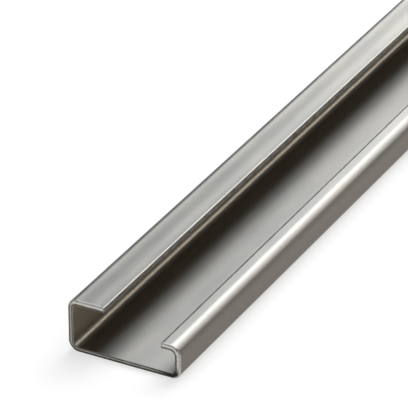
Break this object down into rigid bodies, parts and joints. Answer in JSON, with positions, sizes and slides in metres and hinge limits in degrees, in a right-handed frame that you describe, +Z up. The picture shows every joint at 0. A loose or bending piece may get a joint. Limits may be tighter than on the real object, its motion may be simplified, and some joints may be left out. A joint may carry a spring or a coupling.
{
  "type": "g-section mounting rail",
  "caption": "Unperforated G-section steel mounting rail, one folded strip with a wide lip over its deep side and a narrow lip over its shallow side, in a stock length.",
  "frame": {"origin": "on the underside of the base, in the middle of the width and of the length", "axes": "+Y along the rail, +X across it from the deep wall to the shallow wall, +Z up out of the mouth"},
  "size_m": [0.032, 1, 0.015],
  "materials": {
    "zinc_plated_strip": "thin bright zinc plating, satin, with fine rolling lines along the rail and plainer grey cut ends"
  },
  "bodies": {
    "root": {"rail": "zinc_plated_strip"}
  },
  "joints": []
}
